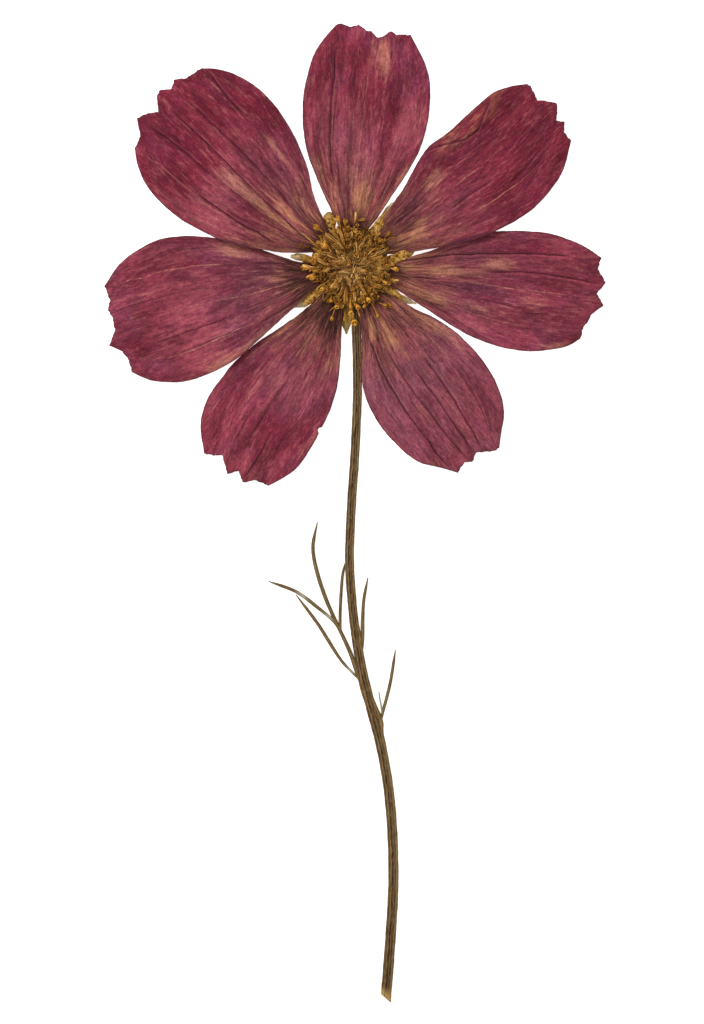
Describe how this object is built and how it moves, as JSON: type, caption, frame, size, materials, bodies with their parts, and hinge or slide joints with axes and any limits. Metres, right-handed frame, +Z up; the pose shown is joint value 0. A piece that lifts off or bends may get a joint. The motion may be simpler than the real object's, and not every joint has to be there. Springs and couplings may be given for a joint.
{
  "type": "pressed cosmos flower",
  "caption": "Pressed and dried cosmos flower lying face up, with toothed ray petals, a head of disc florets and a cut stem with thread-like leaves.",
  "frame": {"origin": "under the middle of the flower head, on the surface that the flower lies on", "axes": "+Z up, out of the open face of the flower; the stem runs away along -Y; +X to the right with the stem towards the viewer"},
  "size_m": [0.0802, 0.1565, 0.0046],
  "materials": {
    "petal": "dry, matt",
    "floret": "dry, matt",
    "bract": "dry, matt",
    "stem": "dry, ribbed",
    "leaf": "dry, matt"
  },
  "bodies": {
    "root": {"stem": "stem", "leaf_upper_left": "leaf", "leaf_upper_right": "leaf", "leaf_lower_right": "leaf", "involucre": "bract", "petal_top": "petal", "petal_upper_right": "petal", "petal_right": "petal", "petal_lower_right": "petal", "petal_lower_left": "petal", "petal_left": "petal", "petal_upper_left": "petal", "disc_florets": "floret"}
  },
  "joints": []
}
